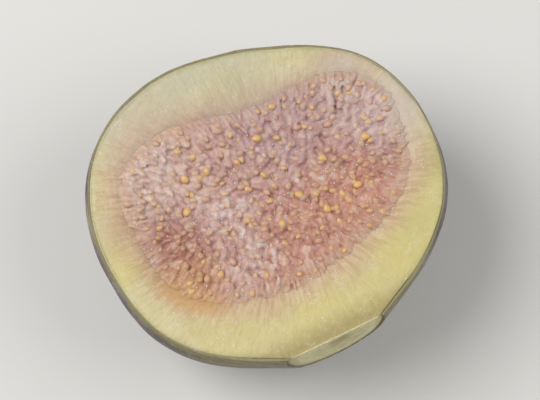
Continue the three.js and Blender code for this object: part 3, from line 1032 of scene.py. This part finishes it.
def make_drupelets():
    """The juicy sacs, grown together at their feet, and the spots at their inner ends for seeds."""
    places = []
    tints = []
    tips = []
    rows = row_shares(SAC_ROWS, SAC_MARGIN)
    for spot, heading, share in pulp_places(rows, SAC_PITCH, 0.6):
        near_rind = max(0, share - (1 - RIND_ZONE)) / RIND_ZONE
        long = rng.uniform(*SAC_LENGTH) * (1 - 0.2 * near_rind)
        wide = rng.uniform(*SAC_WIDTH) * (1 - 0.15 * near_rind)
        high = wide * rng.uniform(0.8, 1)
        spot.z += rng.uniform(*SAC_RISE) + 0.12 * (1 - share) - 0.15 * near_rind
        heading += rng.gauss(0, 0.32 + 0.8 * (1 - share) ** 1.5)
        tilt = rng.uniform(*SAC_TILT)
        matrix = lying(spot, heading, tilt, rng.uniform(-0.5, 0.5), (long, wide, high))
        tint = rng.random()
        places.append((matrix, tint))
        tints.append((spot, tint))
        tips.append((matrix @ (SAC_TIP * MM) / MM, heading))
    for spot, heading, share in pulp_places([STALK_SHARE], STALK_PITCH, 0.5):
        long = rng.uniform(*STALK_LENGTH)
        thick = rng.uniform(*STALK_THICKNESS)
        spot.z = bed_level(share) + rng.uniform(*STALK_RISE)
        matrix = lying(spot, heading + rng.gauss(0, 0.2), rng.gauss(0.06, 0.04), 0, (long, thick, thick))
        places.append((matrix, 0))
    layer = joined([lumpy_bed(), copies_of(sac_model(), places)])
    layer.data.transform(Matrix.Scale(1 / MM, 4))
    modifier(layer, "REMESH", mode="VOXEL", voxel_size=FUSING_GRAIN)
    modifier(layer, "SMOOTH", factor=0.5, iterations=1)
    layer.data.transform(Matrix.Scale(MM, 4))
    edit(layer)
    slice_off(CUT_PLACE - UP * LAYER_DEPTH, -UP, fill=True)
    leave_edit()
    nearest = kdtree.KDTree(len(tints))
    for index, (spot, _) in enumerate(tints):
        nearest.insert(spot, index)
    nearest.balance()
    tag_points(layer, "tint", at_points(layer, lambda point: tints[nearest.find(point)[1]][1]))
    tag_points(layer, "from_pulp", at_points(layer, distance_to_pulp))
    tag_points(layer, "raised", relief_of(layer, 10))
    return finished(layer, "drupelets", "pulp", drupelet_finish(), "pulp"), tips


def surface_at(piece, x, y):
    """The height of the piece's top at that place, in millimetres."""
    hit, place, _, _ = piece.ray_cast(Vector((x, y, CUT_HEIGHT + 5)) * MM, -UP)
    return place.z / MM if hit else CUT_HEIGHT - BED_BELOW_CUT


def seed_model():
    """One seed: a small lens, a little pointed at one end."""
    seed = new_ball(8, 6, 0.5)

    def pointed(point):
        fore = max(0, point.x)
        return Vector((point.x * (1 + 0.35 * fore), point.y * (1 - 0.5 * fore), point.z))

    move_points(seed, pointed)
    return seed


def make_seeds(drupelets, tips):
    """Seeds at the inner ends of some drupelets, and a few larger ones that are bare of flesh."""
    places = []
    for spot, heading in tips:
        if rng.random() > SEEDED_SHARE:
            continue
        size = rng.uniform(*SEED_SIZE)
        spot.z = surface_at(drupelets, spot.x, spot.y) - size * rng.uniform(*SEED_SINK)
        turned = heading + rng.gauss(0, 0.7)
        matrix = lying(spot, turned, rng.gauss(0, 0.3), rng.gauss(0, 0.3), SEED_FORM * size)
        places.append((matrix, 0.9 * rng.random() ** 2))
    for x, y in BRIGHT_SEEDS:
        spot = Vector((x, y, surface_at(drupelets, x, y)))
        places.append((lying(spot, rng.uniform(-3, 3), 0.1, 0.1, BRIGHT_SEED_SIZE), 1.0))
    return finished(copies_of(seed_model(), places), "seeds", "pulp", seed_finish())


def strand_model():
    """One thread, 1 mm long before it is scaled: thin, arched and tapered."""
    bpy.ops.mesh.primitive_cylinder_add(vertices=5, radius=0.5 * MM, depth=MM, rotation=ALONG_X)
    strand = bpy.context.object
    bpy.ops.object.transform_apply()
    edit(strand)
    select_where(strand, lambda e: abs(e.verts[0].co.x - e.verts[1].co.x) > 0.5 * MM, "edges")
    bpy.ops.mesh.subdivide(number_cuts=5)
    leave_edit()

    def arched(point):
        taper = 0.35 + 0.65 * (0.5 - point.x)
        bow = 0.25 - point.x**2
        return Vector((point.x, point.y * taper + 0.5 * bow, point.z * taper + 1.5 * bow))

    move_points(strand, arched)
    return strand


def make_strands(drupelets):
    """Loose threads of the stalks, which lie on the drupelets round the seam."""
    places = []
    for spot, heading, _ in pulp_places([STRAND_SHARE], STRAND_PITCH, 0.9):
        long = rng.uniform(*STRAND_LENGTH)
        thick = rng.uniform(*STRAND_THICKNESS)
        spot.z = surface_at(drupelets, spot.x, spot.y) - rng.uniform(*STRAND_SINK)
        heading += rng.gauss(0, 0.25)
        matrix = lying(spot, heading, rng.gauss(-0.04, 0.05), rng.uniform(-1.3, 1.3), (long, thick, thick))
        places.append((matrix, rng.random()))
    return finished(copies_of(strand_model(), places), "strands", "pulp", strand_finish())


def make_frost(drupelets):
    """Grains of ice, thickest left of the middle."""
    bpy.ops.mesh.primitive_ico_sphere_add(subdivisions=1, radius=0.5 * MM)
    grain = bpy.context.object
    places = []
    for spot, _, _ in pulp_places(row_shares(FROST_ROWS, 0), FROST_PITCH, 0.4):
        frosty = max(fall_off((spot.xy - Vector((x, y))).length, spread) for x, y, spread in FROST_SPOTS)
        if rng.random() > FROST_ELSEWHERE + FROST_IN_SPOTS * frosty:
            continue
        size = rng.uniform(*FROST_SIZE)
        spot.z = surface_at(drupelets, spot.x, spot.y) + 0.15 * size
        scale = (size, size * rng.uniform(0.6, 1), size * rng.uniform(0.5, 0.9))
        matrix = lying(spot, rng.uniform(-3, 3), rng.uniform(-1, 1), rng.uniform(-1, 1), scale)
        places.append((matrix, rng.random()))
    return finished(copies_of(grain, places), "frost_grains", "pulp", frost_finish())


# ---- Eye ---------------------------------------------------------------------

# Each row: count, distance from the eye's middle, length, width, thickness, lift in degrees, first turn
SCALE_ROWS = (
    (9, 2.7, 2.3, 1.7, 0.34, 3, 0.0),
    (7, 2.0, 2.0, 1.5, 0.34, 9, 0.3),
    (5, 1.5, 1.5, 1.15, 0.3, 18, 0.1),
)
SCALE_OVERLAP = 0.35
SCALE_GAP = 0.04


def bract_model():
    """One scale of the eye, 1 mm long before it is scaled: a thin cupped blade with a pointed tip."""
    bract = new_ball(12, 8, 0.5, ALONG_X)

    def cupped(point):
        narrow = 1 - 0.75 * max(0, point.x + 0.1) / 0.6
        return Vector((point.x, point.y * narrow, point.z + 0.35 * point.y**2 * narrow))

    move_points(bract, cupped)
    return bract


def wall_at(skin, x, z):
    """The place on the skin round the eye at that x and z, in millimetres, and the way it faces."""
    _, place, facing, _ = skin.ray_cast(Vector((x, 30, z)) * MM, Vector((0, -1, 0)))
    return place / MM, facing


def make_bracts(skin):
    """Three rows of scales lie over the eye, each on the last, and leave a small mouth, darkened by painted
    shade on the scales.
    """
    places = []
    for count, from_axis, long, wide, thick, lift, start in SCALE_ROWS:
        for index in range(count):
            turn = 2 * math.pi * index / count + start + rng.gauss(0, 0.07)
            out = Vector((math.sin(turn), 0, math.cos(turn)))
            foot, facing = wall_at(skin, EYE_PLACE.x + out.x * from_axis, EYE_PLACE.z + out.z * from_axis)
            raised = math.radians(lift + rng.gauss(0, 3))
            level = (-out - facing * facing.dot(-out)).normalized()
            length = level * math.cos(raised) + facing * math.sin(raised)
            face = facing * math.cos(raised) - level * math.sin(raised)
            side = face.cross(length)
            spot = foot + length * SCALE_OVERLAP * long + facing * SCALE_GAP
            turned = Matrix((length, side, face)).transposed().to_4x4()
            size = Matrix.Diagonal((long * rng.uniform(0.9, 1.1), wide * rng.uniform(0.9, 1.1), thick, 1))
            places.append((Matrix.Translation(spot * MM) @ turned @ size, rng.random()))
    return finished(copies_of(bract_model(), places), "eye_bracts", "skin", bract_finish())


# ---- Stage, light and camera -------------------------------------------------

VIEW_AZIMUTH = math.radians(-26)
VIEW_ELEVATION = math.radians(77)
VIEW_WIDTH = 70  # millimetres across the view at the fig
VIEW_BELOW_CUT = 2.5
LENS = 150
SENSOR = 36
FLOOR_WIDTH = 2400
LAMPS_AIM = Vector((0, 0, 15))
# Each lamp: name, place, width and power
LAMPS = (("softbox", (-260, 190, 470), 400, 2.3), ("fill", (330, -160, 420), 420, 1.0))
ROOM_LIGHT = 0.25


def make_camera():
    """A long lens that looks down on the cut face."""
    level = math.cos(VIEW_ELEVATION)
    sideways = math.sin(VIEW_AZIMUTH) * level
    toward = -math.cos(VIEW_AZIMUTH) * level
    back = Vector((sideways, toward, math.sin(VIEW_ELEVATION)))
    bpy.ops.object.camera_add()
    camera = bpy.context.object
    camera.data.lens = LENS
    camera.data.sensor_width = SENSOR
    aim = Vector((0, 0, CUT_HEIGHT - VIEW_BELOW_CUT))
    camera.location = (aim + back * VIEW_WIDTH * LENS / SENSOR) * MM
    camera.rotation_mode = "QUATERNION"
    camera.rotation_quaternion = (-back).to_track_quat("-Z", "Y")
    bpy.context.scene.camera = camera


def make_lamp(name, place, width, power):
    """A soft round lamp that shines on the fig."""
    bpy.ops.object.light_add(type="AREA", location=Vector(place) * MM)
    lamp = bpy.context.object
    lamp.name = name
    lamp.data.shape = "DISK"
    lamp.data.size = width * MM
    lamp.data.energy = power
    aim = LAMPS_AIM * MM - lamp.location
    lamp.rotation_euler = aim.to_track_quat("-Z", "Y").to_euler()


def make_stage():
    """A pale floor under soft, even light."""
    bpy.ops.mesh.primitive_plane_add(size=FLOOR_WIDTH * MM)
    floor = bpy.context.object
    floor.name = "floor"
    floor.data.materials.append(floor_finish())
    for lamp in LAMPS:
        make_lamp(*lamp)
    world = bpy.data.worlds.new("studio")
    world.use_nodes = True
    background = world.node_tree.nodes["Background"]
    background.inputs["Color"].default_value = (1, 1, 1, 1)
    background.inputs["Strength"].default_value = ROOM_LIGHT
    bpy.context.scene.world = world
    bpy.context.scene.view_settings.view_transform = "Standard"


# ---- The fig -----------------------------------------------------------------

make_camera()
skin = make_skin()
make_rind()
make_bowl()
drupelets, tips = make_drupelets()
make_seeds(drupelets, tips)
make_strands(drupelets)
make_frost(drupelets)
make_bracts(skin)
make_stage()
